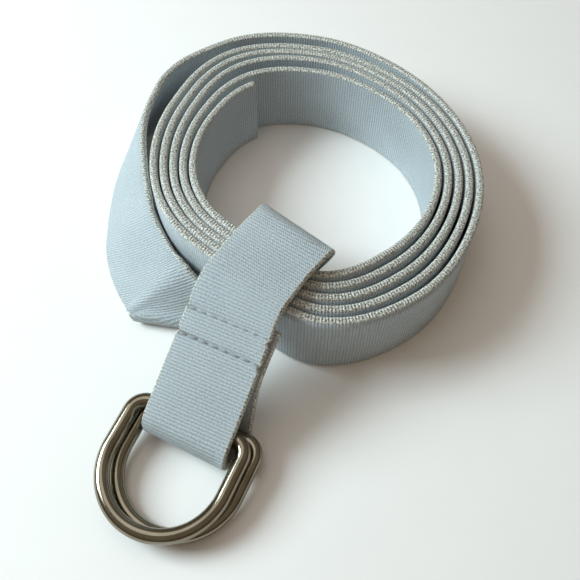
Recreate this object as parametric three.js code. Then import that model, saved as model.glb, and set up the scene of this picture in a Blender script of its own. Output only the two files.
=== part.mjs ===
// A long ribbed webbing belt with two D rings, rolled up on its edge.
// Millimetres, +Z up. The roll stands on the floor. The ring end leaves it at
// the left, folds under it, rises through its middle, runs over its front and
// hangs down to the two rings, which lie on the floor in front.

import * as THREE from 'three';

// Webbing
const belt_width = 32;
const webbing_thickness = 3;
const edge_chamfer = 0.7;
const clearance = 0.3;

// Roll
const roll_turns = 5;
const roll_inner_radius = 47;
const layer_gap = 1.2;
const free_end_angle = 120;
const roll_step_angle = 7.5;

// Rings
const wire_diameter = 5.2;
const ring_inner_width = 37.2;
const ring_reach = 39.2;
const ring_corner_radius = 5.4;
const wire_sides = 16;

// Ring end of the belt
const loop_facing = -24;
const loop_angle = 247.3;
const loop_distance = 43.6;
const rear_bar_setback = 2.8;
const rear_bar_slack = 0.4;
const front_ring_slip = 0.2;
const rear_ring_slip = 3;
const loop_front = 8;
const loop_front_skew = 3.5;
const loop_front_shift = 0.6;
const seam_start = 19.2;
const seam_length = 19.5;
const front_bend_pieces = 9;
const loop_aside = 0.8;
const loop_back_aside = 2.5;
const end_aside = 1.5;

// Fold where the loose strap turns under the roll
const fold_radius = 2.3;
const fold_angle = 227.5;
const fold_out = 0.42;
const fold_facing = -8;
const fold_slant = 0.6;
const fold_start = 45;
const fold_pieces = 5;

// Outline of the roll, seen from above: angle in degrees, radius of the first
// turn as a share of roll_inner_radius, and slack between the turns as a share
// of layer_gap.
const roll_outline = [
  { angle: 0, radius: 0.955, slack: 0.80 },
  { angle: 30, radius: 0.941, slack: 0.81 },
  { angle: 60, radius: 0.948, slack: 1.32 },
  { angle: 90, radius: 1.016, slack: 2.07 },
  { angle: 120, radius: 1.093, slack: 2.41 },
  { angle: 150, radius: 1.032, slack: 1.36 },
  { angle: 180, radius: 1.000, slack: 0.73 },
  { angle: 210, radius: 0.984, slack: 0.38 },
  { angle: 240, radius: 0.965, slack: 0.30 },
  { angle: 270, radius: 1.109, slack: 0.99 },
  { angle: 300, radius: 1.004, slack: 1.64 },
  { angle: 330, radius: 0.969, slack: 1.06 },
];

// Shift of each turn at the back, as a share of layer_gap: the second stands
// off and the third and fourth are pressed together.
const back_shift = [0, 1.4, 0.3, -1.4, 0];
const back_angle = 95;
const back_spread = 75;

// Middle of the loose strap. angle: degrees round the roll. out: distance
// beyond the outer face of the roll, as a share of belt_width. lean: degrees
// the width stands up from the floor. facing: heading of the width in plan.
// rise: height over the floor or over the top of the roll, as a share of
// belt_width.
const tail_rows = [
  { angle: 134, out: 0.28, lean: 90, facing: -46, over: 'floor', rise: 0 },
  { angle: 143.7, out: 0.42, lean: 76, facing: -37, over: 'floor', rise: 0 },
  { angle: 151, out: 0.45, lean: 69, facing: -20, over: 'floor', rise: 0 },
  { angle: 159.3, out: 0.43, lean: 66, facing: -9, over: 'floor', rise: 0 },
  { angle: 167.5, out: 0.39, lean: 62, facing: -5, over: 'floor', rise: 0 },
  { angle: 174.6, out: 0.36, lean: 58, facing: -2, over: 'floor', rise: 0 },
  { angle: 182.2, out: 0.35, lean: 54, facing: 1, over: 'floor', rise: 0 },
  { angle: 189.6, out: 0.36, lean: 50, facing: 4, over: 'floor', rise: 0 },
  { angle: 196.3, out: 0.39, lean: 47, facing: 11, over: 'floor', rise: 0 },
  { angle: 202.6, out: 0.40, lean: 44, facing: 20, over: 'floor', rise: 0 },
  { angle: 209.2, out: 0.41, lean: 43, facing: 27, over: 'floor', rise: 0 },
  { angle: 215.6, out: 0.43, lean: 45, facing: 29, over: 'floor', rise: 0 },
  { angle: 219.4, out: 0.44, lean: 41, facing: 14, over: 'floor', rise: 0.04 },
  { angle: 223.2, out: 0.42, lean: 26, facing: 4, over: 'floor', rise: 0.06 },
  { angle: 225.2, out: 0.44, lean: 12, facing: -2, over: 'floor', rise: 0.09 },
];
const under_rows = [
  { angle: 229, out: 0.21, lean: 0, facing: -20, over: 'floor', rise: 0 },
  { angle: 231.4, out: -0.12, lean: 0, facing: -36, over: 'floor', rise: 0 },
  { angle: 236.7, out: -0.46, lean: 0, facing: -42, over: 'floor', rise: 0 },
];
const riser_rows = [
  { angle: 242, out: -0.73, lean: 0, facing: -43, over: 'floor', rise: 0.05 },
  { angle: 246.7, out: -0.91, lean: 0, facing: -40, over: 'floor', rise: 0.32 },
  { angle: 251.2, out: -1.00, lean: 0, facing: -38, over: 'floor', rise: 0.58 },
  { angle: 256, out: -1.02, lean: 0, facing: -38, over: 'floor', rise: 0.85 },
  { angle: 259, out: -1.00, lean: 0, facing: -39, over: 'top', rise: -0.05 },
  { angle: 257.6, out: -0.84, lean: 0, facing: -39, over: 'top', rise: 0.06 },
  { angle: 252.2, out: -0.47, lean: 0, facing: -37, over: 'top', rise: 0.03 },
  { angle: 249.5, out: -0.12, lean: 0, facing: -34, over: 'top', rise: 0.01 },
  { angle: 248.3, out: 0.08, lean: 0, facing: -32, over: 'top', rise: -0.01 },
  { angle: 248, out: 0.26, lean: 0, facing: -30, over: 'top', rise: -0.07 },
];

const radians = THREE.MathUtils.degToRad;
const up = new THREE.Vector3(0, 0, 1);
const half_thickness = webbing_thickness / 2;
const half_width = belt_width / 2;
const wire_radius = wire_diameter / 2;
const layer_step = webbing_thickness + clearance;
const top_height = belt_width + layer_step + clearance;

// Value of a closed table at an angle, by a smooth curve through its rows
function tableValue(rows, column, angle) {
  const step = 360 / rows.length;
  const turned = THREE.MathUtils.euclideanModulo(angle, 360) / step;
  const index = Math.floor(turned);
  const share = turned - index;
  const at = (k) => rows[(index + k + rows.length) % rows.length][column];
  const bend = 2 * at(-1) - 5 * at(0) + 4 * at(1) - at(2);
  const twist = 3 * (at(0) - at(1)) + at(2) - at(-1);
  return at(0) + share / 2 * (at(1) - at(-1) + share * (bend + share * twist));
}

// Radius of the middle of the webbing at an angle counted through the turns
function rollRadius(running) {
  const turns = (running - free_end_angle) / 360;
  const growth = webbing_thickness + layer_gap * tableValue(roll_outline, 'slack', running);
  const turn = Math.max(0, Math.round((running - back_angle) / 360) - 1);
  const offset = Math.abs(running - back_angle - 360 * (turn + 1));
  const near = Math.cos(Math.min(1, offset / back_spread) * Math.PI / 2) ** 2;
  const shift = layer_gap * near * (back_shift[turn] ?? 0);
  return roll_inner_radius * tableValue(roll_outline, 'radius', running) + growth * turns + shift;
}

const last_running = free_end_angle + 360 * roll_turns;

// Outer face of the outermost turn at an angle between 134 and 360 degrees
function outerFaceRadius(angle) {
  const turns = Math.floor((last_running - angle) / 360);
  return rollRadius(angle + 360 * turns) + half_thickness;
}

function polar(radius, angle, height) {
  const x = radius * Math.cos(radians(angle));
  const y = radius * Math.sin(radians(angle));
  return new THREE.Vector3(x, y, height);
}

function planPoint(row) {
  return polar(outerFaceRadius(row.angle) + row.out * belt_width, row.angle, 0);
}

function widthHeading(lean, facing) {
  const flat = Math.cos(radians(lean));
  const x = flat * Math.cos(radians(facing));
  const y = flat * Math.sin(radians(facing));
  return new THREE.Vector3(x, y, Math.sin(radians(lean)));
}

// The turns that stand on the strap are lifted by it
const lift_line = new THREE.Line3(planPoint(under_rows.at(0)), planPoint(riser_rows.at(0)));
const lift_flat = belt_width * 0.62;
const lift_slope = belt_width * 0.9;

function liftAt(point) {
  const nearest = lift_line.closestPointToPoint(point, true, new THREE.Vector3());
  const away = Math.hypot(point.x - nearest.x, point.y - nearest.y);
  return layer_step * (1 - THREE.MathUtils.smoothstep(away, lift_flat, lift_flat + lift_slope));
}

// A section is the middle of the webbing and the heading of its width
function rollSections() {
  const sections = [];
  for (let running = free_end_angle; running <= last_running; running += roll_step_angle) {
    const middle = polar(rollRadius(running), running, 0);
    middle.z = liftAt(middle) + half_width;
    sections.push({ middle, width: up.clone() });
  }
  return sections;
}

function rowSection(row) {
  const lean = radians(row.lean);
  const half = half_thickness * Math.cos(lean) + half_width * Math.sin(lean);
  const base = row.over === 'top' ? top_height : 0;
  const middle = planPoint(row).setZ(base + half + row.rise * belt_width);
  return { middle, width: widthHeading(row.lean, row.facing) };
}

// Turn round a slanting crease, from the leaning strap down to the floor
function foldSections() {
  const crease = widthHeading(0, fold_facing);
  const outward = new THREE.Vector3().crossVectors(crease, up);
  const centre = planPoint({ angle: fold_angle, out: fold_out });
  centre.z = half_thickness + fold_radius;
  return Array.from({ length: fold_pieces + 1 }, (_, piece) => {
    const turn = THREE.MathUtils.lerp(fold_start, -90, piece / fold_pieces);
    const travelled = -radians(turn) * fold_radius * fold_slant;
    const middle = centre.clone()
      .addScaledVector(outward, fold_radius * Math.cos(radians(turn)))
      .addScaledVector(up, fold_radius * Math.sin(radians(turn)))
      .addScaledVector(crease, travelled);
    return { middle, width: crease.clone() };
  });
}

// Sections on a smooth curve through a list of sections
function smoothSections(keys, pieces, first) {
  const curve = new THREE.CatmullRomCurve3(keys.map((key) => key.middle), false, 'centripetal');
  const sections = [];
  for (let index = first; index < keys.length - 1; index += 1) {
    for (let piece = 0; piece < pieces; piece += 1) {
      const share = piece / pieces;
      const [from, to] = [keys[index], keys[index + 1]];
      const width = from.width.clone().lerp(to.width, share).normalize();
      const middle = curve.getPoint((index + share) / (keys.length - 1));
      const low = Math.min(from.middle.z, to.middle.z);
      middle.z = THREE.MathUtils.clamp(middle.z, low, Math.max(from.middle.z, to.middle.z));
      sections.push({ middle, width });
    }
  }
  return sections;
}

// The bars of the rings, seen along the bars: along runs forward from the front
// bar, height up from the floor, aside along the bars.
const across = widthHeading(0, loop_facing);
const forward = new THREE.Vector3().crossVectors(across, up);
const front_bar_plan = planPoint({ angle: loop_angle, out: loop_distance / belt_width });
const wrap_radius = wire_radius + clearance + half_thickness;
const rear_wrap_radius = wrap_radius + rear_bar_slack;
const rear_bar_height = rear_wrap_radius + half_thickness;
const ring_tilt = Math.asin((rear_bar_height - wire_radius) / ring_reach);
const front_bar_height = rear_bar_height - rear_bar_setback * Math.tan(ring_tilt)
  + (wire_diameter + clearance) / Math.cos(ring_tilt);
const front_bar = new THREE.Vector2(0, front_bar_height);
const rear_bar = new THREE.Vector2(-rear_bar_setback, rear_bar_height);

function loopPoint(flat, aside) {
  return front_bar_plan.clone()
    .addScaledVector(forward, flat.x)
    .addScaledVector(across, aside)
    .setZ(flat.y);
}

function flatPoint(point) {
  return new THREE.Vector2(point.clone().sub(front_bar_plan).dot(forward), point.z);
}

function around(centre, radius, turn) {
  const x = centre.x + radius * Math.cos(radians(turn));
  const y = centre.y + radius * Math.sin(radians(turn));
  return new THREE.Vector2(x, y);
}

// Direction from a centre to where a line from a point touches a circle
function tangentTurn(centre, radius, point, side) {
  const away = point.clone().sub(centre);
  const turn = Math.atan2(away.y, away.x) + side * Math.acos(radius / away.length());
  return THREE.MathUtils.radToDeg(turn);
}

// Radius of the loose bend in front of the bars: it meets the slope and the
// floor, and its foremost point is loop_front ahead of the front bar.
function frontBendRadius(touch, touch_point) {
  const ahead = Math.cos(radians(touch));
  const above = Math.sin(radians(touch));
  const reach = (touch_point.x - loop_front) * ahead + (touch_point.y - half_thickness) * above;
  return reach / (1 + above - ahead);
}

// Loop round both bars: over the front one, down to the floor, back under the
// rear one and up to the seam, where the cut end lies under the strap.
function loopSections(start) {
  const from = flatPoint(start.middle);
  const start_aside = start.middle.clone().sub(front_bar_plan).dot(across);
  const touch = tangentTurn(front_bar, wrap_radius, from, -1);
  const touch_point = around(front_bar, wrap_radius, touch);
  const back = from.clone().sub(touch_point).normalize();
  const below = new THREE.Vector2(-Math.cos(radians(touch)), -Math.sin(radians(touch)));
  const seamPoint = (distance) => touch_point.clone()
    .addScaledVector(back, distance)
    .addScaledVector(below, layer_step);
  const sections = [];
  const add = (flat, aside, width = across.clone()) => {
    sections.push({ middle: loopPoint(flat, aside), width });
  };
  for (const share of [0.2, 0.4, 0.6, 0.8]) {
    const width = start.width.clone().lerp(across, Math.sqrt(share)).normalize();
    const aside = THREE.MathUtils.lerp(loop_aside, start_aside, (1 - share) ** 1.5);
    add(from.clone().lerp(touch_point, share), aside, width);
  }
  const bend_radius = frontBendRadius(touch, touch_point);
  const bend = new THREE.Vector2(loop_front - bend_radius, half_thickness + bend_radius);
  for (let piece = 0; piece <= front_bend_pieces; piece += 1) {
    const share = piece / front_bend_pieces;
    const turn = THREE.MathUtils.lerp(touch, -90, share);
    const width = widthHeading(0, loop_facing - loop_front_skew * share);
    add(around(bend, bend_radius, turn), loop_aside + loop_front_shift * share, width);
  }
  const seam_foot = seamPoint(seam_start);
  const leave = tangentTurn(rear_bar, rear_wrap_radius, seam_foot, 1) - 360;
  for (const share of [0, 0.33, 0.67, 1]) {
    add(around(rear_bar, rear_wrap_radius, THREE.MathUtils.lerp(-90, leave, share)), loop_back_aside);
  }
  const leave_point = around(rear_bar, rear_wrap_radius, leave);
  for (const share of [0.5, 0.88]) {
    const aside = THREE.MathUtils.lerp(loop_back_aside, end_aside, share);
    add(leave_point.clone().lerp(seam_foot, share), aside);
  }
  for (const share of [0.14, 0.5, 1]) {
    add(seamPoint(seam_start + seam_length * share), end_aside);
  }
  return sections;
}

function strapSections() {
  const roll = rollSections();
  const riser = riser_rows.map(rowSection);
  const loop = loopSections(riser.at(-1));
  const loose = [
    ...roll.slice(-2),
    ...tail_rows.map(rowSection),
    ...foldSections(),
    ...under_rows.map(rowSection),
    ...riser,
    ...loop.slice(0, 1),
  ];
  return [...roll.slice(0, -1), ...smoothSections(loose, 3, 1), ...loop];
}

// Solid swept along the sections with a chamfered strip as its profile
function sweepStrap(sections) {
  const inner = half_thickness - edge_chamfer;
  const flat = half_width - edge_chamfer;
  const profile = [
    [-half_width, -inner], [-flat, -half_thickness], [flat, -half_thickness], [half_width, -inner],
    [half_width, inner], [flat, half_thickness], [-flat, half_thickness], [-half_width, inner],
  ];
  const count = profile.length;
  const positions = [];
  sections.forEach((section, index) => {
    const before = sections[Math.max(0, index - 1)].middle;
    const after = sections[Math.min(sections.length - 1, index + 1)].middle;
    const travel = after.clone().sub(before).normalize();
    const slant = travel.dot(section.width);
    const stretch = 1 / Math.sqrt(1 - slant * slant);
    const face = travel.clone().cross(section.width).normalize();
    for (const [wide, thick] of profile) {
      const point = section.middle.clone()
        .addScaledVector(section.width, wide * stretch)
        .addScaledVector(face, thick);
      positions.push(point.x, point.y, point.z);
    }
  });
  const indices = [];
  for (let ring = 0; ring < sections.length - 1; ring += 1) {
    for (let side = 0; side < count; side += 1) {
      const a = ring * count + side;
      const b = ring * count + (side + 1) % count;
      indices.push(a, b, a + count, b, b + count, a + count);
    }
  }
  const last = (sections.length - 1) * count;
  for (let side = 1; side < count - 1; side += 1) {
    indices.push(0, side + 1, side);
    indices.push(last, last + side, last + side + 1);
  }
  return closedGeometry(positions, indices);
}

function closedGeometry(positions, indices) {
  const geometry = new THREE.BufferGeometry();
  geometry.setAttribute('position', new THREE.Float32BufferAttribute(positions, 3));
  geometry.setIndex(indices);
  geometry.computeVertexNormals();
  return geometry;
}

// Centre line of a ring in its own plane: x along the bar, y towards the bow
function ringOutline() {
  const bow = (ring_inner_width + wire_diameter) / 2;
  const bow_centre = ring_reach - bow;
  const points = [];
  const arc = (x, y, radius, start, end, count) => {
    for (let index = 0; index <= count; index += 1) {
      const turn = radians(THREE.MathUtils.lerp(start, end, index / count));
      points.push(new THREE.Vector2(x + radius * Math.cos(turn), y + radius * Math.sin(turn)));
    }
  };
  arc(bow - ring_corner_radius, ring_corner_radius, ring_corner_radius, -90, 0, 6);
  arc(0, bow_centre, bow, 0, 180, 28);
  arc(ring_corner_radius - bow, ring_corner_radius, ring_corner_radius, 180, 270, 6);
  const bar_half = bow - ring_corner_radius;
  for (const share of [-0.5, 0, 0.5]) {
    points.push(new THREE.Vector2(bar_half * share, 0));
  }
  return points;
}

function sweepRing(bar_middle) {
  const tilted = forward.clone().multiplyScalar(Math.cos(ring_tilt))
    .addScaledVector(up, -Math.sin(ring_tilt));
  const normal = new THREE.Vector3().crossVectors(across, tilted);
  const outline = ringOutline();
  const positions = [];
  outline.forEach((point, index) => {
    const before = outline[(index + outline.length - 1) % outline.length];
    const after = outline[(index + 1) % outline.length];
    const travel = after.clone().sub(before).normalize();
    const outward = across.clone().multiplyScalar(travel.y).addScaledVector(tilted, -travel.x);
    for (let side = 0; side < wire_sides; side += 1) {
      const turn = 2 * Math.PI * side / wire_sides;
      const place = bar_middle.clone()
        .addScaledVector(across, point.x)
        .addScaledVector(tilted, point.y)
        .addScaledVector(outward, wire_radius * Math.cos(turn))
        .addScaledVector(normal, wire_radius * Math.sin(turn));
      positions.push(place.x, place.y, place.z);
    }
  });
  const indices = [];
  for (let ring = 0; ring < outline.length; ring += 1) {
    const next = (ring + 1) % outline.length;
    for (let side = 0; side < wire_sides; side += 1) {
      const turned = (side + 1) % wire_sides;
      const a = ring * wire_sides + side;
      const b = ring * wire_sides + turned;
      const c = next * wire_sides + side;
      const d = next * wire_sides + turned;
      indices.push(a, c, b, b, c, d);
    }
  }
  return closedGeometry(positions, indices);
}

const webbing_material = new THREE.MeshStandardMaterial({
  color: 0xc9ccc8, roughness: 0.9, metalness: 0,
});
const metal_material = new THREE.MeshStandardMaterial({
  color: 0x6e675c, roughness: 0.25, metalness: 1,
});

function namedMesh(name, geometry, material) {
  const mesh = new THREE.Mesh(geometry, material);
  mesh.name = name;
  return mesh;
}

const belt = new THREE.Group();
belt.name = 'double_ring_belt';
belt.add(namedMesh('belt_strap', sweepStrap(strapSections()), webbing_material));
belt.add(namedMesh('d_ring_front', sweepRing(loopPoint(front_bar, front_ring_slip)), metal_material));
belt.add(namedMesh('d_ring_rear', sweepRing(loopPoint(rear_bar, rear_ring_slip)), metal_material));

// The origin is the middle of the footprint, on the floor
const bounds = new THREE.Box3().setFromObject(belt);
const origin = bounds.getCenter(new THREE.Vector3()).setZ(bounds.min.z);
for (const mesh of belt.children) {
  mesh.geometry.translate(-origin.x, -origin.y, -origin.z);
}

export default belt;
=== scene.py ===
import math

import bpy
import numpy as np
from mathutils import Matrix, Vector


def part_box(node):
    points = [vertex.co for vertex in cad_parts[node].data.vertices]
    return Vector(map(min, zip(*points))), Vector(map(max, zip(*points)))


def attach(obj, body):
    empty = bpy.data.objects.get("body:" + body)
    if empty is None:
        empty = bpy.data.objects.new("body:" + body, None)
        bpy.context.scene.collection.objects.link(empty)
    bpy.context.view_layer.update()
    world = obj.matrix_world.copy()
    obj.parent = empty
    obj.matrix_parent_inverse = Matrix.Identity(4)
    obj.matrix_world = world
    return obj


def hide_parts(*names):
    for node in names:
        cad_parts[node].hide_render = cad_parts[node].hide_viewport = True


MM = 0.001

# Webbing
BELT_WIDTH = 32.0
WEBBING_THICKNESS = 3.0
EDGE_ROUNDING = 1.1
CLEARANCE = 0.3
RIB_PITCH = 1.15
RIB_DEPTH = 0.16

# Roll
ROLL_TURNS = 5
ROLL_INNER_RADIUS = 47.0
LAYER_GAP = 1.2
FREE_END_ANGLE = 120.0
ROLL_STEP_ANGLE = 1.25

# Pieces that the smooth shapes are divided into
LOOSE_PIECES = 10
SLOPE_PIECES = 120
BEND_PIECES = 23
FACE_POINTS = 8
CORNER_TURNS = (0, 30, 60, 90)

# Rings
WIRE_DIAMETER = 5.2
RING_INNER_WIDTH = 37.2
RING_REACH = 39.2
RING_CORNER_RADIUS = 5.4
WIRE_SIDES = 40

# Ring end of the belt
LOOP_FACING = -24.0
LOOP_ANGLE = 247.3
LOOP_DISTANCE = 43.6
REAR_BAR_SETBACK = 2.8
REAR_BAR_SLACK = 0.4
FRONT_RING_SLIP = 0.2
REAR_RING_SLIP = 3.0
LOOP_FRONT = 8.0
LOOP_FRONT_SKEW = 3.5
LOOP_FRONT_SHIFT = 0.6
SEAM_START = 19.2
SEAM_LENGTH = 19.5
LOOP_ASIDE = 0.8
LOOP_BACK_ASIDE = 2.5
END_ASIDE = 1.5

# Fold where the loose strap turns under the roll
FOLD_RADIUS = 2.3
FOLD_ANGLE = 227.5
FOLD_OUT = 0.42
FOLD_FACING = -8.0
FOLD_SLANT = 0.6
FOLD_START = 45.0
FOLD_PIECES = 5

# Seam: rows of stitches, counted back along the strap from where it meets the
# front bar, at the left and at the right edge; how deep the thread sinks into
# the webbing; the share of the width that is sewn; the bow of a stitch; and
# the dimple that the thread pulls
NEAR_ROW = (29.0, 28.2)
FAR_ROW = (38.2, 37.2)
NEAR_SINK = 0.2
FAR_SINK = 0.45
STITCH_PITCH = 3.9
STITCH_LENGTH = 2.7
THREAD_DIAMETER = 0.7
ROW_SHARE = 0.94
STITCH_BOW = 0.5
STITCH_DROP = 0.35
STITCH_DIVE = 0.05
STITCH_RINGS = 7
THREAD_SIDES = 8
SEAM_PULL = 0.8
SEAM_PULL_REACH = 0.8
DIMPLE_SHARE = 0.8
TOP_TOLERANCE = 0.01

# Outline of the roll, seen from above: angle in degrees, radius of the first
# turn as a share of ROLL_INNER_RADIUS, and slack between the turns as a share
# of LAYER_GAP
ROLL_OUTLINE = [
    (0, 0.955, 0.80),
    (30, 0.941, 0.81),
    (60, 0.948, 1.32),
    (90, 1.016, 2.07),
    (120, 1.093, 2.41),
    (150, 1.032, 1.36),
    (180, 1.000, 0.73),
    (210, 0.984, 0.38),
    (240, 0.965, 0.30),
    (270, 1.109, 0.99),
    (300, 1.004, 1.64),
    (330, 0.969, 1.06),
]
OUTLINE_RADIUS = 1
OUTLINE_SLACK = 2

# Shift of each turn at the back, as a share of LAYER_GAP
BACK_SHIFT = [0, 1.4, 0.3, -1.4, 0]
BACK_ANGLE = 95.0
BACK_SPREAD = 75.0

# Middle of the loose strap: degrees round the roll, distance beyond its outer
# face as a share of BELT_WIDTH, degrees the width stands up from the floor,
# heading of the width in plan, and height over the floor or over the top of
# the roll as a share of BELT_WIDTH
TAIL_ROWS = [
    (134, 0.28, 90, -46, 0),
    (143.7, 0.42, 76, -37, 0),
    (151, 0.45, 69, -20, 0),
    (159.3, 0.43, 66, -9, 0),
    (167.5, 0.39, 62, -5, 0),
    (174.6, 0.36, 58, -2, 0),
    (182.2, 0.35, 54, 1, 0),
    (189.6, 0.36, 50, 4, 0),
    (196.3, 0.39, 47, 11, 0),
    (202.6, 0.40, 44, 20, 0),
    (209.2, 0.41, 43, 27, 0),
    (215.6, 0.43, 45, 29, 0),
    (219.4, 0.44, 41, 14, 0.04),
    (223.2, 0.42, 26, 4, 0.06),
    (225.2, 0.44, 12, -2, 0.09),
]
UNDER_ROWS = [
    (229, 0.21, 0, -20, 0),
    (231.4, -0.12, 0, -36, 0),
    (236.7, -0.46, 0, -42, 0),
]
RISER_ROWS = [
    (242, -0.73, 0, -43, 0.05),
    (246.7, -0.91, 0, -40, 0.32),
    (251.2, -1.00, 0, -38, 0.58),
    (256, -1.02, 0, -38, 0.85),
]
CREST_ROWS = [
    (259, -1.00, 0, -39, -0.05),
    (257.6, -0.84, 0, -39, 0.06),
    (252.2, -0.47, 0, -37, 0.03),
    (249.5, -0.12, 0, -34, 0.01),
    (248.3, 0.08, 0, -32, -0.01),
    (248, 0.26, 0, -30, -0.07),
]

UP = np.array([0.0, 0.0, 1.0])
HALF_THICKNESS = WEBBING_THICKNESS / 2
HALF_WIDTH = BELT_WIDTH / 2
WIRE_RADIUS = WIRE_DIAMETER / 2
LAYER_STEP = WEBBING_THICKNESS + CLEARANCE
TOP_HEIGHT = BELT_WIDTH + LAYER_STEP + CLEARANCE
LAST_RUNNING = FREE_END_ANGLE + 360 * ROLL_TURNS

# The slope joins the smooth curve of the loose strap at this share of its length
JOINT_SHARE = 0.2
# Sections between the rear bar and the seam, and where the sewn end starts
RISE_SHARES = (0.25, 0.5, 0.7, 0.88)
SEWN_SHARES = np.linspace(0.14, 1, 12)

# How far, in sections, the width and the slant of the ribs are softened
WIDTH_REACH = 3
RIB_REACH = 12

# Noise scales, per metre
WOBBLE_SCALE = 900.0
BROAD_SCALE = 45.0
FLECK_SCALE = 2600.0
SPECK_SCALE = 1500.0
MARK_SCALE = 1400.0
PATCH_SCALE = 120.0
TWIST_SCALE = 2500.0
FLOOR_SCALE = 60.0

# Unevenness of the ribs and yarns in radians, and yarns to each rib
RIB_WOBBLE = 1.8
YARN_WOBBLE = 4.0
YARNS_PER_RIB = 1.5

# Colours, darkest and lightest
FACE_COLOURS = ((0.25, 0.285, 0.305, 1), (0.65, 0.70, 0.725, 1))
RIM_COLOURS = ((0.20, 0.19, 0.155, 1), (0.80, 0.79, 0.73, 1))
METAL_COLOURS = ((0.15, 0.128, 0.095, 1), (0.40, 0.355, 0.27, 1))
THREAD_COLOURS = ((0.15, 0.16, 0.17, 1), (0.55, 0.58, 0.6, 1))
FLOOR_COLOURS = ((0.92, 0.88, 0.85, 1), (0.95, 0.91, 0.88, 1))

# Room: colour near the horizon, there at the right front, and overhead
ROOM_LOW = (0.46, 0.42, 0.36, 1)
ROOM_RIGHT_FRONT = (0.38, 0.25, 0.17, 1)
ROOM_HIGH = (1.0, 0.86, 0.68, 1)
ROOM_STRENGTH = 0.3

# Lights in metres and watts: name, place, size, power, colour
LIGHT_TARGET = (0, 0, 0.02)
LIGHTS = [
    ("window", (-0.85, 0.1, 0.66), 0.5, 14.5, (0.75, 0.93, 1.0)),
    ("sky", (-0.25, 0.3, 1.1), 0.8, 2.0, (0.92, 0.97, 1.0)),
]

# Camera, fitted to the photograph, and the photograph's size in pixels
PHOTO_SIZE = 580
FOCAL_PIXELS = 700
SENSOR_WIDTH = 36
CAMERA_ELEVATION = 57.7
CAMERA_ROLL = 1.0
CAMERA_HEIGHT = 235.2
ROLL_CENTRE_FROM_CAMERA = (9.01, 187.62)


def unit(vector):
    return vector / np.linalg.norm(vector)


def lerp(start, end, share):
    return start + (end - start) * share


def clamp(value, low, high):
    return max(low, min(high, value))


def outline_value(column, angle):
    """Value of the roll's outline at an angle, by a smooth curve through its rows."""
    step = 360 / len(ROLL_OUTLINE)
    turned = (angle % 360) / step
    index = math.floor(turned)
    share = turned - index
    a, b, c, d = (ROLL_OUTLINE[(index + k) % len(ROLL_OUTLINE)][column] for k in (-1, 0, 1, 2))
    bend = 2 * a - 5 * b + 4 * c - d
    twist = 3 * (b - c) + d - a
    return b + share / 2 * (c - a + share * (bend + share * twist))


def roll_radius(running):
    """Radius of the middle of the webbing at an angle counted through the turns."""
    turns = (running - FREE_END_ANGLE) / 360
    growth = WEBBING_THICKNESS + LAYER_GAP * outline_value(OUTLINE_SLACK, running)
    turn = max(0, math.floor((running - BACK_ANGLE) / 360 + 0.5) - 1)
    offset = abs(running - BACK_ANGLE - 360 * (turn + 1))
    near = math.cos(min(1, offset / BACK_SPREAD) * math.pi / 2) ** 2
    shift = LAYER_GAP * near * (BACK_SHIFT[turn] if turn < len(BACK_SHIFT) else 0)
    return ROLL_INNER_RADIUS * outline_value(OUTLINE_RADIUS, running) + growth * turns + shift


def polar(radius, angle):
    turn = math.radians(angle)
    return np.array([radius * math.cos(turn), radius * math.sin(turn), 0])


def plan_point(angle, out):
    """Point beyond the outer face of the outermost turn."""
    turns = math.floor((LAST_RUNNING - angle) / 360)
    radius = roll_radius(angle + 360 * turns) + HALF_THICKNESS + out * BELT_WIDTH
    return polar(radius, angle)


def width_heading(lean, facing):
    """Direction across the strap: its rise from the floor and its heading in plan."""
    flat = math.cos(math.radians(lean))
    x = flat * math.cos(math.radians(facing))
    y = flat * math.sin(math.radians(facing))
    return np.array([x, y, math.sin(math.radians(lean))])


LIFT_FROM = plan_point(*UNDER_ROWS[0][:2])
LIFT_TO = plan_point(*RISER_ROWS[0][:2])
LIFT_FLAT = BELT_WIDTH * 0.62
LIFT_SLOPE = BELT_WIDTH * 0.9


def lift_at(point):
    """Height by which the turns that stand on the strap are lifted."""
    line = LIFT_TO - LIFT_FROM
    share = clamp(np.dot(point - LIFT_FROM, line) / np.dot(line, line), 0, 1)
    away = np.linalg.norm(point - LIFT_FROM - line * share)
    rise = clamp((away - LIFT_FLAT) / LIFT_SLOPE, 0, 1)
    return LAYER_STEP * (1 - rise * rise * (3 - 2 * rise))


def roll_sections():
    """Sections of the roll: the middle of the webbing and the heading of its width."""
    sections = []
    for step in range(round(360 * ROLL_TURNS / ROLL_STEP_ANGLE) + 1):
        running = FREE_END_ANGLE + ROLL_STEP_ANGLE * step
        middle = polar(roll_radius(running), running)
        middle[2] = lift_at(middle) + HALF_WIDTH
        sections.append((middle, UP))
    return sections


def row_section(row, base=0.0):
    """Section of the loose strap from a row of its table."""
    angle, out, lean, facing, rise = row
    slope = math.radians(lean)
    middle = plan_point(angle, out)
    half = HALF_THICKNESS * math.cos(slope) + HALF_WIDTH * math.sin(slope)
    middle[2] = base + half + rise * BELT_WIDTH
    return middle, width_heading(lean, facing)


def fold_sections():
    """Turn round a slanting crease, from the leaning strap down to the floor."""
    crease = width_heading(0, FOLD_FACING)
    outward = np.cross(crease, UP)
    centre = plan_point(FOLD_ANGLE, FOLD_OUT)
    centre[2] = HALF_THICKNESS + FOLD_RADIUS
    sections = []
    for turn in np.linspace(FOLD_START, -90, FOLD_PIECES + 1):
        angle = math.radians(turn)
        middle = centre + FOLD_RADIUS * (
            outward * math.cos(angle) + UP * math.sin(angle) - crease * angle * FOLD_SLANT
        )
        sections.append((middle, crease))
    return sections


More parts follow.
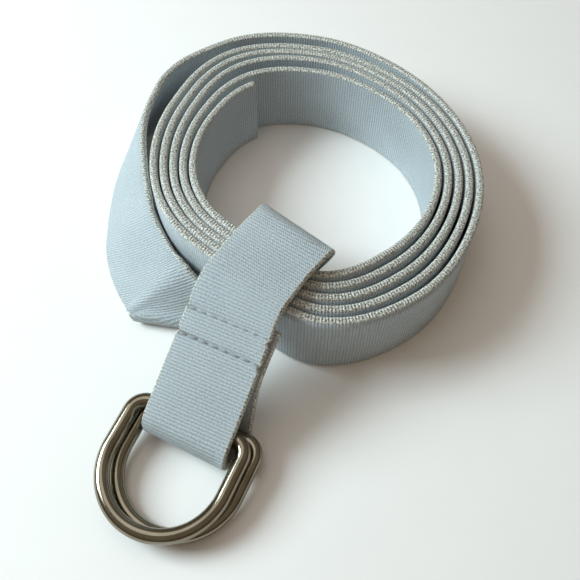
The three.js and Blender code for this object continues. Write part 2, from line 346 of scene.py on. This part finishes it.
def curve_point(points, index, share):
    """Point on a centripetal curve through the points."""
    a = points[index - 1] if index > 0 else 2 * points[0] - points[1]
    b = points[index]
    c = points[index + 1]
    d = points[index + 2] if index + 2 < len(points) else 2 * points[-1] - points[-2]
    before, span, after = (math.sqrt(np.linalg.norm(q - p)) for p, q in ((a, b), (b, c), (c, d)))
    start = ((b - a) / before - (c - a) / (before + span) + (c - b) / span) * span
    end = ((c - b) / span - (d - b) / (span + after) + (d - c) / after) * span
    bend = -3 * b + 3 * c - 2 * start - end
    twist = 2 * b - 2 * c + start + end
    return b + share * (start + share * (bend + share * twist))


def smooth_sections(keys, pieces, first):
    """Sections on a smooth curve through a list of sections."""
    points = [middle for middle, width in keys]
    widths = [width for middle, width in keys]
    sections = []
    for index in range(first, len(keys) - 1):
        low, high = sorted((points[index][2], points[index + 1][2]))
        for piece in range(pieces):
            share = piece / pieces
            middle = curve_point(points, index, share)
            middle[2] = clamp(middle[2], low, high)
            sections.append((middle, unit(lerp(widths[index], widths[index + 1], share))))
    return sections


# The bars of the rings, seen along the bars: along runs forward from the front
# bar and height up from the floor
ACROSS = width_heading(0, LOOP_FACING)
FORWARD = np.cross(ACROSS, UP)
FRONT_BAR_PLAN = plan_point(LOOP_ANGLE, LOOP_DISTANCE / BELT_WIDTH)
WRAP_RADIUS = WIRE_RADIUS + CLEARANCE + HALF_THICKNESS
REAR_WRAP_RADIUS = WRAP_RADIUS + REAR_BAR_SLACK
REAR_BAR_HEIGHT = REAR_WRAP_RADIUS + HALF_THICKNESS
RING_TILT = math.asin((REAR_BAR_HEIGHT - WIRE_RADIUS) / RING_REACH)
FRONT_BAR_HEIGHT = (
    REAR_BAR_HEIGHT
    - REAR_BAR_SETBACK * math.tan(RING_TILT)
    + (WIRE_DIAMETER + CLEARANCE) / math.cos(RING_TILT)
)
FRONT_BAR = np.array([0.0, FRONT_BAR_HEIGHT])
REAR_BAR = np.array([-REAR_BAR_SETBACK, REAR_BAR_HEIGHT])


def loop_point(flat, aside):
    """Point at a place seen along the bars and a distance aside."""
    point = FRONT_BAR_PLAN + FORWARD * flat[0] + ACROSS * aside
    point[2] = flat[1]
    return point


def around(centre, radius, turn):
    angle = math.radians(turn)
    return centre + radius * np.array([math.cos(angle), math.sin(angle)])


def tangent_turn(centre, radius, point, side):
    """Direction from a centre to where a line from a point touches a circle."""
    away = point - centre
    turn = math.atan2(away[1], away[0]) + side * math.acos(radius / np.linalg.norm(away))
    return math.degrees(turn)


def front_bend_radius(touch, touch_point):
    """Radius of the loose bend in front of the bars, which meets the slope and the floor."""
    ahead = math.cos(math.radians(touch))
    above = math.sin(math.radians(touch))
    reach = (touch_point[0] - LOOP_FRONT) * ahead + (touch_point[1] - HALF_THICKNESS) * above
    return reach / (1 + above - ahead)


def loop_sections(start):
    """Slope down to the rings, the loop round both bars, and the end under the seam."""
    start_middle, start_width = start
    away = start_middle - FRONT_BAR_PLAN
    start_flat = np.array([np.dot(away, FORWARD), start_middle[2]])
    start_aside = np.dot(away, ACROSS)
    touch = tangent_turn(FRONT_BAR, WRAP_RADIUS, start_flat, -1)
    touch_point = around(FRONT_BAR, WRAP_RADIUS, touch)
    back = unit(start_flat - touch_point)
    below = around(np.zeros(2), 1, touch + 180)

    def seam_point(distance):
        return touch_point + back * distance + below * LAYER_STEP

    slope = []
    for share in np.linspace(0, 1, SLOPE_PIECES, endpoint=False)[1:]:
        width = unit(lerp(start_width, ACROSS, math.sqrt(share)))
        aside = lerp(LOOP_ASIDE, start_aside, (1 - share) ** 1.5)
        slope.append((loop_point(lerp(start_flat, touch_point, share), aside), width))
    loop = []
    radius = front_bend_radius(touch, touch_point)
    bend = np.array([LOOP_FRONT - radius, HALF_THICKNESS + radius])
    for share in np.linspace(0, 1, BEND_PIECES + 1):
        width = width_heading(0, LOOP_FACING - LOOP_FRONT_SKEW * share)
        flat = around(bend, radius, lerp(touch, -90, share))
        loop.append((loop_point(flat, LOOP_ASIDE + LOOP_FRONT_SHIFT * share), width))
    seam_foot = seam_point(SEAM_START)
    leave = tangent_turn(REAR_BAR, REAR_WRAP_RADIUS, seam_foot, 1) - 360
    for turn in np.linspace(-90, leave, 10):
        loop.append((loop_point(around(REAR_BAR, REAR_WRAP_RADIUS, turn), LOOP_BACK_ASIDE), ACROSS))
    leave_point = around(REAR_BAR, REAR_WRAP_RADIUS, leave)
    for share in RISE_SHARES:
        aside = lerp(LOOP_BACK_ASIDE, END_ASIDE, share)
        loop.append((loop_point(lerp(leave_point, seam_foot, share), aside), ACROSS))
    for share in SEWN_SHARES:
        loop.append((loop_point(seam_point(SEAM_START + SEAM_LENGTH * share), END_ASIDE), ACROSS))
    return slope, loop


def strap_sections():
    """All sections of the strap, and the numbers of those where it meets the front bar
    and where the hidden stretch under the roll begins and ends."""
    roll = roll_sections()
    riser = [row_section(row) for row in RISER_ROWS]
    crest = [row_section(row, TOP_HEIGHT) for row in CREST_ROWS]
    slope, loop = loop_sections(crest[-1])
    coarse = round(7.5 / ROLL_STEP_ANGLE)
    joint = round(SLOPE_PIECES * JOINT_SHARE) - 1
    loose = [
        roll[-1 - coarse],
        roll[-1],
        *(row_section(row) for row in TAIL_ROWS),
        *fold_sections(),
        *(row_section(row) for row in UNDER_ROWS),
        *riser,
        *crest,
        slope[joint],
    ]
    sections = [*roll[:-1], *smooth_sections(loose, LOOSE_PIECES, 1), *slope[joint:]]
    hidden_from = len(roll) - 1 + LOOSE_PIECES * (len(TAIL_ROWS) + FOLD_PIECES + 2)
    hidden_to = hidden_from + LOOSE_PIECES * len(UNDER_ROWS)
    return [*sections, *loop], len(sections), (hidden_from, hidden_to)


def strap_profile():
    """Section of the webbing: across its width and through its thickness."""
    flat = HALF_WIDTH - EDGE_ROUNDING
    thick = HALF_THICKNESS - EDGE_ROUNDING
    across_face = np.linspace(-flat, flat, FACE_POINTS)
    points = [(wide, -HALF_THICKNESS) for wide in across_face[:-1]]
    for turn in np.radians(CORNER_TURNS):
        points.append((flat + EDGE_ROUNDING * math.sin(turn), -thick - EDGE_ROUNDING * math.cos(turn)))
    for turn in np.radians(CORNER_TURNS):
        points.append((flat + EDGE_ROUNDING * math.cos(turn), thick + EDGE_ROUNDING * math.sin(turn)))
    points += [(-wide, -through) for wide, through in points]
    return np.array(points)


def smooth_along(values, reach):
    """Values softened along the strap, with the ends kept."""
    ends = 3 * reach
    steps = np.arange(-ends, ends + 1)
    weights = np.exp(-0.5 * (steps / reach) ** 2)
    weights /= weights.sum()
    padded = np.pad(values, ((ends, ends), (0, 0)), mode="edge")
    return np.stack([np.convolve(column, weights, mode="valid") for column in padded.T], axis=1)


class Strap:
    """The strap as arrays: middle, width and face of each section, and the length up to it."""

    def __init__(self):
        sections, meets_bar, self.hidden = strap_sections()
        self.middle = np.array([middle for middle, width in sections])
        width = smooth_along(np.array([width for middle, width in sections]), WIDTH_REACH)
        self.width = width / np.linalg.norm(width, axis=1)[:, None]
        ahead = np.concatenate([self.middle[1:], self.middle[-1:]])
        behind = np.concatenate([self.middle[:1], self.middle[:-1]])
        travel = ahead - behind
        self.travel = travel / np.linalg.norm(travel, axis=1)[:, None]
        face = np.cross(self.travel, self.width)
        self.face = face / np.linalg.norm(face, axis=1)[:, None]
        self.slant = np.sum(self.travel * self.width, axis=1)
        self.rib_slant = smooth_along(self.slant[:, None], RIB_REACH)[:, 0]
        steps = np.linalg.norm(np.diff(self.middle, axis=0), axis=1)
        self.length = np.concatenate([[0.0], np.cumsum(steps)])
        self.bar_length = self.length[meets_bar]
        self.stretch = 1 / np.sqrt(1 - self.slant ** 2)

    def rib_length(self, wide):
        """Length at which the ribs cross each line of points off the middle of the strap."""
        lines = self.middle[:, None] + (self.stretch[:, None] * wide)[:, :, None] * self.width[:, None]
        steps = np.linalg.norm(np.diff(lines, axis=0), axis=2)
        measured = np.concatenate([np.zeros((1, len(wide))), np.cumsum(steps, axis=0)])
        skewed = self.length[:, None] + (self.rib_slant * self.stretch)[:, None] * wide
        hidden_from, hidden_to = self.hidden
        share = (np.arange(len(self.middle)) - hidden_from) / (hidden_to - hidden_from)
        return lerp(measured, skewed, np.clip(share, 0, 1)[:, None])

    def place(self, along, wide, above):
        """Point at a length, a distance off the middle and a height over the upper face."""
        def at(rows):
            return np.array([np.interp(along, self.length, column) for column in rows.T])
        travel = unit(at(self.travel))
        face = unit(at(self.face))
        return at(self.middle) + np.cross(face, travel) * wide + face * (HALF_THICKNESS + above)


def row_length(strap, row, wide):
    """Length along the strap of a row of stitches at a distance off its middle."""
    left, right = row
    return strap.bar_length - (left + (right - left) * (wide / BELT_WIDTH + 0.5))


def seam_pull(strap, along, wide):
    """How far the stitches pull the webbing in at a place."""
    rows = (row_length(strap, row, wide) for row in (NEAR_ROW, FAR_ROW))
    return SEAM_PULL * sum(np.exp(-((along - row) / SEAM_PULL_REACH) ** 2) for row in rows)


def mesh_object(name, vertices, faces, material):
    """Smooth object from points in millimetres."""
    mesh = bpy.data.meshes.new(name)
    mesh.from_pydata([tuple(v) for v in vertices * MM], [], faces)
    mesh.polygons.foreach_set("use_smooth", [True] * len(mesh.polygons))
    mesh.materials.append(material)
    mesh.update()
    result = bpy.data.objects.new(name, mesh)
    bpy.context.scene.collection.objects.link(result)
    return result


def grid_faces(rows, count, closed_rows=False):
    """Faces of a tube: rows of points, count in each, joined round."""
    faces = []
    for row in range(rows if closed_rows else rows - 1):
        following = (row + 1) % rows
        for side in range(count):
            turned = (side + 1) % count
            near = (row * count + side, row * count + turned)
            far = (following * count + turned, following * count + side)
            faces.append(near + far)
    return faces


def make_strap(strap, shift, material):
    """The webbing, with its lengths and widths kept as coordinates for the weave."""
    profile = strap_profile()
    count = len(profile)
    wide = profile[:, 0]
    narrowing = 1 - seam_pull(strap, strap.length[:, None], np.sign(wide) * HALF_WIDTH) / HALF_WIDTH
    across = (wide * strap.stretch[:, None] * narrowing)[:, :, None] * strap.width[:, None]
    along = strap.rib_length(wide)
    through = np.broadcast_to(profile[:, 1], along.shape)
    on_top = through > HALF_THICKNESS - TOP_TOLERANCE
    sunk = seam_pull(strap, along, wide) * DIMPLE_SHARE * on_top
    vertices = strap.middle[:, None] + across + (through - sunk)[:, :, None] * strap.face[:, None]
    rows = len(strap.middle)
    faces = grid_faces(rows, count)
    faces.append(tuple(reversed(range(count))))
    faces.append(tuple((rows - 1) * count + side for side in range(count)))
    piece = mesh_object("webbing", vertices.reshape(-1, 3) + shift, faces, material)
    for name, pair in (
        ("weave", (along, np.broadcast_to(wide, along.shape))),
        ("rim", (along, through)),
    ):
        layer = piece.data.uv_layers.new(name=name)
        corners = np.zeros(len(piece.data.loops), np.int32)
        piece.data.loops.foreach_get("vertex_index", corners)
        values = np.stack([part.reshape(-1)[corners] for part in pair], axis=1) * MM
        layer.data.foreach_set("uv", values.astype(np.float32).ravel())
    return piece


def ring_outline():
    """Centre line of a ring in its own plane: x along the bar, y towards the bow."""
    bow = (RING_INNER_WIDTH + WIRE_DIAMETER) / 2
    corner = RING_CORNER_RADIUS
    arcs = [
        (bow - corner, corner, corner, -90, 0, 16),
        (0, RING_REACH - bow, bow, 0, 180, 90),
        (corner - bow, corner, corner, 180, 270, 16),
    ]
    points = []
    for x, y, radius, start, end, count in arcs:
        for turn in np.radians(np.linspace(start, end, count + 1)):
            points.append((x + radius * math.cos(turn), y + radius * math.sin(turn)))
    points += [((bow - corner) * share, 0) for share in np.linspace(-0.9, 0.9, 12)]
    return np.array(points)


def ring_vertices(bar_middle):
    """Points of a ring, a row round the wire for each point of its centre line."""
    tilted = FORWARD * math.cos(RING_TILT) - UP * math.sin(RING_TILT)
    normal = np.cross(ACROSS, tilted)
    outline = ring_outline()
    travel = np.roll(outline, -1, axis=0) - np.roll(outline, 1, axis=0)
    travel /= np.linalg.norm(travel, axis=1)[:, None]
    middle = bar_middle + outline[:, :1] * ACROSS + outline[:, 1:] * tilted
    outward = travel[:, 1:] * ACROSS - travel[:, :1] * tilted
    turns = 2 * np.pi * np.arange(WIRE_SIDES) / WIRE_SIDES
    return (
        middle[:, None]
        + outward[:, None] * (WIRE_RADIUS * np.cos(turns))[:, None]
        + normal * (WIRE_RADIUS * np.sin(turns))[:, None]
    )


def make_ring(name, vertices, material):
    rows, count = vertices.shape[:2]
    faces = [tuple(reversed(face)) for face in grid_faces(rows, count, closed_rows=True)]
    return mesh_object(name, vertices.reshape(-1, 3), faces, material)


def make_stitches(strap, shift, material):
    """Rows of thread, each stitch a short bow that dives into the webbing at its ends."""
    vertices = []
    faces = []
    turns = 2 * math.pi * np.arange(THREAD_SIDES) / THREAD_SIDES
    for row, sink in ((NEAR_ROW, NEAR_SINK), (FAR_ROW, FAR_SINK)):
        for number in range(round(BELT_WIDTH * ROW_SHARE / STITCH_PITCH)):
            start = -HALF_WIDTH * ROW_SHARE + STITCH_PITCH * (number + 0.1)
            line = []
            for share in np.linspace(-STITCH_DIVE, 1 + STITCH_DIVE, STITCH_RINGS):
                wide = start + STITCH_LENGTH * share
                height = math.sin(math.pi * share) * STITCH_BOW - sink - STITCH_DROP
                line.append(strap.place(row_length(strap, row, wide), wide, height))
            heading = unit(line[-1] - line[0])
            along = row_length(strap, row, start)
            above = unit(strap.place(along, start, 1) - strap.place(along, start, 0))
            beside = np.cross(heading, above)
            first = len(vertices)
            for point in line:
                for turn in turns:
                    offset = above * math.cos(turn) + beside * math.sin(turn)
                    vertices.append(point + offset * THREAD_DIAMETER / 2)
            for face in grid_faces(STITCH_RINGS, THREAD_SIDES):
                faces.append(tuple(first + corner for corner in face))
    return mesh_object("seam_stitches", np.array(vertices) + shift, faces, material)


class Nodes:
    """Short calls for building the node tree of a material or of the world."""

    def __init__(self, owner, shader="Principled BSDF"):
        self.owner = owner
        owner.use_nodes = True
        self.tree = owner.node_tree
        self.shader = self.tree.nodes[shader]

    def add(self, kind, settings=None, **inputs):
        node = self.tree.nodes.new(kind)
        for key, value in (settings or {}).items():
            setattr(node, key, value)
        for key, value in inputs.items():
            self.set(node.inputs[key.replace("_", " ")], value)
        return node

    def set(self, socket, value):
        if isinstance(value, bpy.types.NodeSocket):
            self.tree.links.new(value, socket)
        else:
            socket.default_value = value

    def math(self, operation, first, second=0.0):
        node = self.tree.nodes.new("ShaderNodeMath")
        node.operation = operation
        self.set(node.inputs[0], first)
        self.set(node.inputs[1], second)
        return node.outputs[0]

    def plus(self, first, second):
        return self.math("ADD", first, second)

    def times(self, first, second):
        return self.math("MULTIPLY", first, second)

    def weigh(self, *terms):
        """Sum of values, each times its weight."""
        first, *others = [self.times(value, weight) for value, weight in terms]
        total = first
        for part in others:
            total = self.plus(total, part)
        return total

    def centred(self, value):
        return self.math("SUBTRACT", value, 0.5)

    def wave(self, value, rate, wobble, strength):
        """Sine of a value, made uneven by a noise."""
        return self.math("SINE", self.weigh((value, rate), (wobble, strength)))

    def mix(self, share, first, second):
        node = self.tree.nodes.new("ShaderNodeMix")
        node.data_type = "RGBA"
        self.set(node.inputs["Factor"], share)
        self.set(node.inputs["A"], first)
        self.set(node.inputs["B"], second)
        return node.outputs["Result"]

    def noise(self, vector, scale, detail=2.0):
        node = self.add("ShaderNodeTexNoise", Vector=vector, Scale=scale, Detail=detail)
        return node.outputs["Fac"]

    def between(self, value, low, high):
        """Share from 0 to 1 of the way from low to high, with smooth ends."""
        node = self.add("ShaderNodeMapRange", {"interpolation_type": "SMOOTHSTEP"}, Value=value)
        node.inputs["From Min"].default_value = low
        node.inputs["From Max"].default_value = high
        return node.outputs[0]


def stretched(nodes, vector, scale):
    node = nodes.add("ShaderNodeMapping", Vector=vector, Scale=scale)
    return node.outputs[0]


def webbing_material():
    """Pale cotton webbing: ribs across, yarns, flecks and rougher, speckled rims."""
    nodes = Nodes(bpy.data.materials.new("webbing"))
    weave = nodes.add("ShaderNodeUVMap", {"uv_map": "weave"}).outputs[0]
    rim = nodes.add("ShaderNodeUVMap", {"uv_map": "rim"}).outputs[0]
    along, wide = nodes.add("ShaderNodeSeparateXYZ", Vector=weave).outputs[:2]
    through = nodes.add("ShaderNodeSeparateXYZ", Vector=rim).outputs[1]
    per_rib = 2 * math.pi / (RIB_PITCH * MM)

    wobble = nodes.noise(weave, WOBBLE_SCALE)
    rib = nodes.wave(along, per_rib, wobble, RIB_WOBBLE)
    yarn = nodes.wave(wide, per_rib * YARNS_PER_RIB, wobble, YARN_WOBBLE)
    knots = nodes.times(rib, yarn)
    broad = nodes.noise(weave, BROAD_SCALE)
    fleck = nodes.noise(stretched(nodes, weave, (1.0, 0.6, 1.0)), FLECK_SCALE, 3.0)
    speck = nodes.noise(rim, SPECK_SCALE, 2.0)

    edge = (HALF_WIDTH - EDGE_ROUNDING) * MM
    on_rim = nodes.between(nodes.math("ABSOLUTE", wide), edge, edge + EDGE_ROUNDING * MM / 2)

    shade = nodes.weigh((rib, 0.2), (knots, 0.16), (nodes.centred(fleck), 1.7), (nodes.centred(broad), 0.3))
    face_share = nodes.plus(shade, 0.52)
    face_share.node.use_clamp = True
    face_colour = nodes.mix(face_share, *FACE_COLOURS)

    middle_line = nodes.between(nodes.math("ABSOLUTE", through), 0.4 * MM, 0.1 * MM)
    rim_share = nodes.plus(nodes.weigh((nodes.centred(speck), 3.6), (rib, 0.12)), 0.55)
    rim_share = nodes.math("SUBTRACT", rim_share, nodes.times(middle_line, 0.2))
    rim_share.node.use_clamp = True
    rim_colour = nodes.mix(rim_share, *RIM_COLOURS)
    colour = nodes.mix(on_rim, face_colour, rim_colour)

    relief = nodes.weigh((rib, 1.0), (knots, 0.9), (fleck, 2.0), (nodes.times(speck, on_rim), 4.0))
    bump = nodes.add("ShaderNodeBump", Height=relief, Distance=RIB_DEPTH / 2 * MM)
    nodes.set(nodes.shader.inputs["Base Color"], colour)
    nodes.set(nodes.shader.inputs["Normal"], bump.outputs[0])
    nodes.shader.inputs["Roughness"].default_value = 0.9
    nodes.shader.inputs["Sheen Weight"].default_value = 0.15
    nodes.shader.inputs["Sheen Roughness"].default_value = 0.5
    nodes.shader.inputs["Specular IOR Level"].default_value = 0.2
    return nodes.owner


def metal_material():
    """Dark nickel plate, polished, with fine rubbed marks and small dull patches."""
    nodes = Nodes(bpy.data.materials.new("ring_metal"))
    place = nodes.add("ShaderNodeTexCoord").outputs["Object"]
    marks = nodes.noise(stretched(nodes, place, (1.0, 1.0, 4.0)), MARK_SCALE, 4.0)
    patches = nodes.noise(place, PATCH_SCALE, 3.0)
    colour = nodes.mix(nodes.weigh((patches, 0.8), (marks, 0.2)), *METAL_COLOURS)
    rough = nodes.weigh((marks, 0.14), (patches, 0.12))
    bump = nodes.add("ShaderNodeBump", Height=marks, Distance=0.004 * MM)
    nodes.set(nodes.shader.inputs["Base Color"], colour)
    nodes.set(nodes.shader.inputs["Roughness"], rough)
    nodes.set(nodes.shader.inputs["Normal"], bump.outputs[0])
    nodes.shader.inputs["Metallic"].default_value = 1.0
    return nodes.owner


def thread_material():
    """Sewing thread, a little darker than the webbing, twisted."""
    nodes = Nodes(bpy.data.materials.new("thread"))
    place = nodes.add("ShaderNodeTexCoord").outputs["Object"]
    twist = nodes.noise(place, TWIST_SCALE, 2.0)
    colour = nodes.mix(twist, *THREAD_COLOURS)
    bump = nodes.add("ShaderNodeBump", Height=twist, Distance=0.08 * MM)
    nodes.set(nodes.shader.inputs["Base Color"], colour)
    nodes.set(nodes.shader.inputs["Normal"], bump.outputs[0])
    nodes.shader.inputs["Roughness"].default_value = 0.8
    return nodes.owner


def floor_material():
    """Plain pale floor, faintly uneven."""
    nodes = Nodes(bpy.data.materials.new("floor"))
    place = nodes.add("ShaderNodeTexCoord").outputs["Object"]
    colour = nodes.mix(nodes.noise(place, FLOOR_SCALE), *FLOOR_COLOURS)
    nodes.set(nodes.shader.inputs["Base Color"], colour)
    nodes.shader.inputs["Roughness"].default_value = 0.7
    return nodes.owner


def make_floor():
    mesh = bpy.data.meshes.new("floor")
    reach = 3.0
    corners = [(-reach, -reach, 0), (reach, -reach, 0), (reach, reach, 0), (-reach, reach, 0)]
    mesh.from_pydata(corners, [], [(0, 1, 2, 3)])
    mesh.materials.append(floor_material())
    floor = bpy.data.objects.new("floor", mesh)
    bpy.context.scene.collection.objects.link(floor)


def make_camera(roll_centre):
    """Camera that sees the roll as the photograph does."""
    elevation = math.radians(CAMERA_ELEVATION)
    roll = math.radians(CAMERA_ROLL)
    right = Vector((1, 0, 0))
    ahead = Vector((0, math.cos(elevation), -math.sin(elevation)))
    above = Vector((0, math.sin(elevation), math.cos(elevation)))
    turned_right = right * math.cos(roll) + above * math.sin(roll)
    turned_up = above * math.cos(roll) - right * math.sin(roll)
    data = bpy.data.cameras.new("camera")
    data.sensor_width = SENSOR_WIDTH
    data.lens = SENSOR_WIDTH * FOCAL_PIXELS / PHOTO_SIZE
    data.clip_start = 0.01
    camera = bpy.data.objects.new("camera", data)
    turn = Matrix((turned_right, turned_up, -ahead)).transposed()
    east, north = ROLL_CENTRE_FROM_CAMERA
    place = Vector(roll_centre) + Vector((-east, -north, CAMERA_HEIGHT))
    camera.matrix_world = Matrix.Translation(place * MM) @ turn.to_4x4()
    bpy.context.scene.collection.objects.link(camera)
    bpy.context.scene.camera = camera


def area_light(name, place, size, power, colour):
    data = bpy.data.lights.new(name, "AREA")
    data.shape = "RECTANGLE"
    data.size = data.size_y = size
    data.energy = power
    data.color = colour
    light = bpy.data.objects.new(name, data)
    light.location = place
    light.rotation_mode = "QUATERNION"
    light.rotation_quaternion = (Vector(LIGHT_TARGET) - Vector(place)).to_track_quat("-Z", "Y")
    bpy.context.scene.collection.objects.link(light)


def make_light():
    """Cool light from the left and a weak warm room, darker near the horizon."""
    world = bpy.data.worlds.new("world")
    nodes = Nodes(world, "Background")
    heading = nodes.add("ShaderNodeTexCoord").outputs["Generated"]
    east, north, height = nodes.add("ShaderNodeSeparateXYZ", Vector=heading).outputs
    right_front = nodes.between(nodes.math("SUBTRACT", east, north), 0.5, 1.3)
    low = nodes.mix(right_front, ROOM_LOW, ROOM_RIGHT_FRONT)
    colour = nodes.mix(nodes.between(height, 0.1, 0.8), low, ROOM_HIGH)
    nodes.set(nodes.shader.inputs["Color"], colour)
    nodes.shader.inputs["Strength"].default_value = ROOM_STRENGTH
    bpy.context.scene.world = world
    for light in LIGHTS:
        area_light(*light)
    bpy.context.scene.view_settings.view_transform = "Standard"


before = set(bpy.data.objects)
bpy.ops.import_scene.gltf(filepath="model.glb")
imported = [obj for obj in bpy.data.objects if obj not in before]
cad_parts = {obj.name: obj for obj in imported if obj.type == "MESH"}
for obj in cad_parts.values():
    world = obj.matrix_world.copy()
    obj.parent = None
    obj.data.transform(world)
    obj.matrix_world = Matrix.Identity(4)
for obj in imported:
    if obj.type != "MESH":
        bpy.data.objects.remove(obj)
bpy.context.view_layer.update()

front_ring = ring_vertices(loop_point(FRONT_BAR, FRONT_RING_SLIP))
rear_ring = ring_vertices(loop_point(REAR_BAR, REAR_RING_SLIP))
low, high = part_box("d_ring_front")
cad_middle = np.array((low + high) / 2) / MM
own_middle = (front_ring.reshape(-1, 3).min(0) + front_ring.reshape(-1, 3).max(0)) / 2
shift = cad_middle - own_middle

strap = Strap()
webbing = make_strap(strap, shift, webbing_material())
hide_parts("belt_strap")
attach(webbing, "strap")

stitches = make_stitches(strap, shift, thread_material())
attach(stitches, "strap")

metal = metal_material()
for name, vertices, node, body in (
    ("front_ring", front_ring, "d_ring_front", "front_ring"),
    ("rear_ring", rear_ring, "d_ring_rear", "rear_ring"),
):
    ring = make_ring(name, vertices + shift, metal)
    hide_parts(node)
    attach(ring, body)

make_floor()
make_camera(shift)
make_light()
